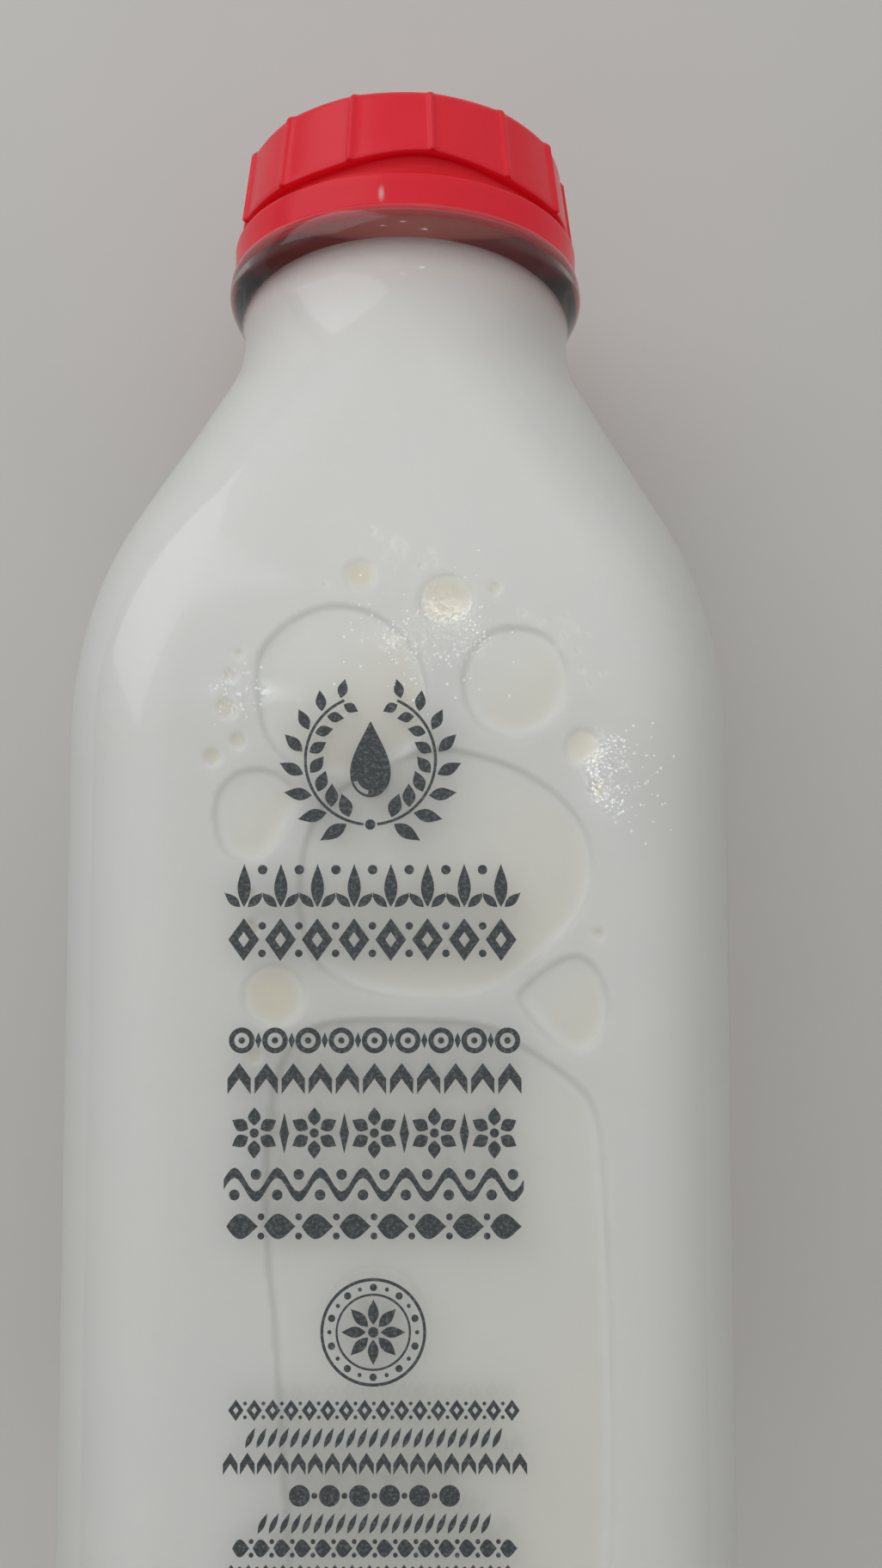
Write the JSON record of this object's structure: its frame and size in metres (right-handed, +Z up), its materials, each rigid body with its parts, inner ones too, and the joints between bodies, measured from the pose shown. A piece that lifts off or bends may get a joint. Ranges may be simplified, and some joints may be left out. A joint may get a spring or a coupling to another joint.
{
  "type": "glass milk bottle",
  "caption": "Square clear glass bottle lying on its back, full of milk with air pockets under its upper face, with a round neck and a ribbed red screw cap.",
  "frame": {"origin": "on the surface that the bottle lies on, under the middle of its box", "axes": "+Z up, out of the bottle's front face; +Y along the bottle, towards the cap; +X to the right of the front face, seen with the cap at the top"},
  "size_m": [0.085, 0.2164, 0.085],
  "materials": {
    "glass": "clear moulded glass, glossy, with faint waves",
    "milk": "whole milk, creamy white, wet",
    "cap_plastic": "red moulded plastic with a soft gloss",
    "print": "dark slate ink printed on the glass"
  },
  "bodies": {
    "root": {"glass_bottle": "glass", "milk": "milk", "cap": "cap_plastic"}
  },
  "joints": []
}
